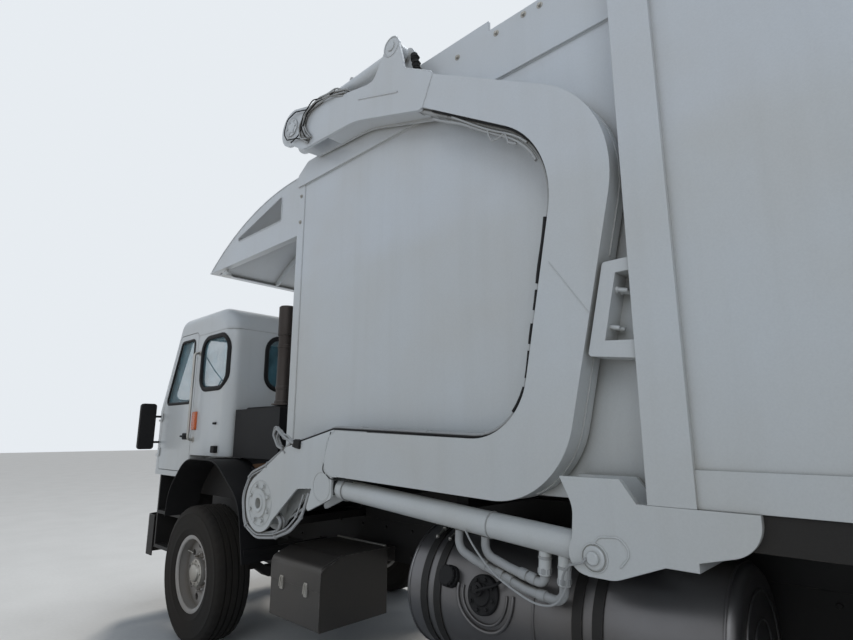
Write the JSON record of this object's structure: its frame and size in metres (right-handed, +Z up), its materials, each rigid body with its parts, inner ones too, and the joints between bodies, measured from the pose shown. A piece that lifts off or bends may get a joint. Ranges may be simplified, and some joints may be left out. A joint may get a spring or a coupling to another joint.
{
  "type": "front-loader refuse truck",
  "caption": "Front-loading refuse truck: cab over engine, open hopper, C-shaped lift arms with folded forks, body with lifting tailgate.",
  "frame": {"origin": "middle of the footprint on the ground, halfway along the truck", "axes": "+X towards the front of the cab, +Y to the truck's left, +Z up"},
  "size_m": [9.6, 2.568, 4.1626],
  "materials": {
    "white_paint": "gloss",
    "chassis_black": "satin",
    "black_plastic": "matte",
    "tyre_rubber": "matte",
    "rim_paint": "satin",
    "tinted_glass": "gloss",
    "interior": "matte",
    "tank_aluminium": "brushed",
    "lamp_lens": "gloss",
    "rod_chrome": "polished",
    "exhaust_steel": "satin",
    "hose_paint": "satin"
  },
  "bodies": {
    "chassis": {"chassis_frame": "chassis_black", "front_bumper": "chassis_black", "lamps": "lamp_lens", "engine_block": "chassis_black", "drive_train": "chassis_black", "suspension": "chassis_black", "front_axle": "chassis_black", "intake_cover": "black_plastic", "front_mudguards": "black_plastic", "subframe": "chassis_black", "pivot_bearings": "white_paint", "hopper": "white_paint", "canopy": "white_paint", "body_shell": "white_paint", "arm_mounts": "white_paint", "cab_shell": "white_paint", "cab_glass": "tinted_glass", "cab_interior": "interior", "grille": "black_plastic", "mirrors": "black_plastic", "cab_steps": "chassis_black", "exhaust_stack": "exhaust_steel", "fuel_tank": "tank_aluminium", "tank_straps": "chassis_black", "tool_box": "tank_aluminium", "side_boxes": "chassis_black", "rear_underrun": "chassis_black"},
    "lift_arms": {"arm_left": "white_paint", "arm_right": "white_paint", "arm_pivot_tube": "chassis_black", "arm_lines": "hose_paint"},
    "forks": {"fork_frame": "white_paint"},
    "lift_barrels": {"lift_cylinder_barrels": "white_paint", "lift_lines": "hose_paint"},
    "lift_rods": {"lift_cylinder_rods": "rod_chrome"},
    "fork_barrels": {"fork_cylinder_barrels": "white_paint"},
    "fork_rods": {"fork_cylinder_rods": "rod_chrome"},
    "tailgate": {"tailgate": "white_paint"},
    "tailgate_barrels": {"tailgate_cylinder_barrels": "white_paint"},
    "tailgate_rods": {"tailgate_cylinder_rods": "rod_chrome"},
    "packer": {"packer_panel": "white_paint"},
    "door_left": {"door_left": "white_paint", "door_glass_left": "tinted_glass"},
    "door_right": {"door_right": "white_paint", "door_glass_right": "tinted_glass"},
    "knuckle_left": {"knuckle_left": "chassis_black"},
    "knuckle_right": {"knuckle_right": "chassis_black"},
    "wheel_front_left": {"tyre_front_left": "tyre_rubber", "rim_front_left": "rim_paint"},
    "wheel_front_right": {"tyre_front_right": "tyre_rubber", "rim_front_right": "rim_paint"},
    "wheel_drive_front_left": {"tyre_drive_front_left": "tyre_rubber", "rim_drive_front_left": "rim_paint"},
    "wheel_drive_front_right": {"tyre_drive_front_right": "tyre_rubber", "rim_drive_front_right": "rim_paint"},
    "wheel_drive_rear_left": {"tyre_drive_rear_left": "tyre_rubber", "rim_drive_rear_left": "rim_paint"},
    "wheel_drive_rear_right": {"tyre_drive_rear_right": "tyre_rubber", "rim_drive_rear_right": "rim_paint"}
  },
  "joints": [
    {"name": "arm_lift", "type": "hinge", "parent": "chassis", "child": "lift_arms", "pos_m": [2.2, 0, 1.18], "axis": [0, 1, 0], "range_deg": [0, 108]},
    {"name": "fork_turn", "type": "hinge", "parent": "lift_arms", "child": "forks", "pos_m": [2.03, 0, 4], "axis": [0, 1, 0], "range_deg": [0, 85]},
    {"name": "lift_barrel_turn", "type": "hinge", "parent": "chassis", "child": "lift_barrels", "pos_m": [-0.29, 0, 1.2], "axis": [0, 1, 0], "range_deg": [-8, 0]},
    {"name": "lift_rod_slide", "type": "slide", "parent": "lift_barrels", "child": "lift_rods", "axis": [0.9971, 0, 0.0759], "range_m": [0, 1.153]},
    {"name": "fork_barrel_turn", "type": "hinge", "parent": "lift_arms", "child": "fork_barrels", "pos_m": [0.89, 0, 4.098], "axis": [0, 1, 0], "range_deg": [-5, 0]},
    {"name": "fork_rod_slide", "type": "slide", "parent": "fork_barrels", "child": "fork_rods", "axis": [1, 0, -0.0083], "range_m": [0, 0.26]},
    {"name": "tailgate_hinge", "type": "hinge", "parent": "chassis", "child": "tailgate", "pos_m": [-4.14, 0, 3.985], "axis": [0, 1, 0], "range_deg": [0, 80]},
    {"name": "tailgate_barrel_turn", "type": "hinge", "parent": "chassis", "child": "tailgate_barrels", "pos_m": [-3, 0, 3.1], "axis": [0, 1, 0], "range_deg": [0, 20]},
    {"name": "tailgate_rod_slide", "type": "slide", "parent": "tailgate_barrels", "child": "tailgate_rods", "axis": [-0.9963, 0, 0.0863], "range_m": [0, 0.845]},
    {"name": "packer_slide", "type": "slide", "parent": "chassis", "child": "packer", "axis": [-1, 0, 0], "range_m": [0, 2.2]},
    {"name": "door_left_hinge", "type": "hinge", "parent": "chassis", "child": "door_left", "pos_m": [4.585, 1.038, 1.8], "axis": [0, 0, -1], "range_deg": [0, 70]},
    {"name": "door_right_hinge", "type": "hinge", "parent": "chassis", "child": "door_right", "pos_m": [4.585, -1.038, 1.8], "axis": [0, 0, 1], "range_deg": [0, 70]},
    {"name": "steer_left", "type": "hinge", "parent": "chassis", "child": "knuckle_left", "pos_m": [3.32, 0.84, 0.53], "axis": [0, 0, 1], "range_deg": [-38, 38]},
    {"name": "wheel_front_left_spin", "type": "hinge", "parent": "knuckle_left", "child": "wheel_front_left", "pos_m": [3.32, 1.045, 0.53], "axis": [0, 1, 0], "continuous": true},
    {"name": "steer_right", "type": "hinge", "parent": "chassis", "child": "knuckle_right", "pos_m": [3.32, -0.84, 0.53], "axis": [0, 0, 1], "range_deg": [-38, 38]},
    {"name": "wheel_front_right_spin", "type": "hinge", "parent": "knuckle_right", "child": "wheel_front_right", "pos_m": [3.32, -1.045, 0.53], "axis": [0, 1, 0], "continuous": true},
    {"name": "wheel_drive_front_left_spin", "type": "hinge", "parent": "chassis", "child": "wheel_drive_front_left", "pos_m": [-1.48, 0.9175, 0.53], "axis": [0, 1, 0], "continuous": true},
    {"name": "wheel_drive_front_right_spin", "type": "hinge", "parent": "chassis", "child": "wheel_drive_front_right", "pos_m": [-1.48, -0.9175, 0.53], "axis": [0, 1, 0], "continuous": true},
    {"name": "wheel_drive_rear_left_spin", "type": "hinge", "parent": "chassis", "child": "wheel_drive_rear_left", "pos_m": [-2.82, 0.9175, 0.53], "axis": [0, 1, 0], "continuous": true},
    {"name": "wheel_drive_rear_right_spin", "type": "hinge", "parent": "chassis", "child": "wheel_drive_rear_right", "pos_m": [-2.82, -0.9175, 0.53], "axis": [0, 1, 0], "continuous": true}
  ],
  "couplings": [
    {"joint": "lift_barrel_turn", "follows": "arm_lift", "ratio": -0.07231},
    {"joint": "lift_rod_slide", "follows": "arm_lift", "m_per_rad": 0.61078},
    {"joint": "fork_barrel_turn", "follows": "fork_turn", "ratio": -0.05529},
    {"joint": "fork_rod_slide", "follows": "fork_turn", "m_per_rad": 0.17351},
    {"joint": "tailgate_barrel_turn", "follows": "tailgate_hinge", "ratio": 0.24463},
    {"joint": "tailgate_rod_slide", "follows": "tailgate_hinge", "m_per_rad": 0.60304},
    {"joint": "steer_right", "follows": "steer_left", "ratio": 1}
  ]
}
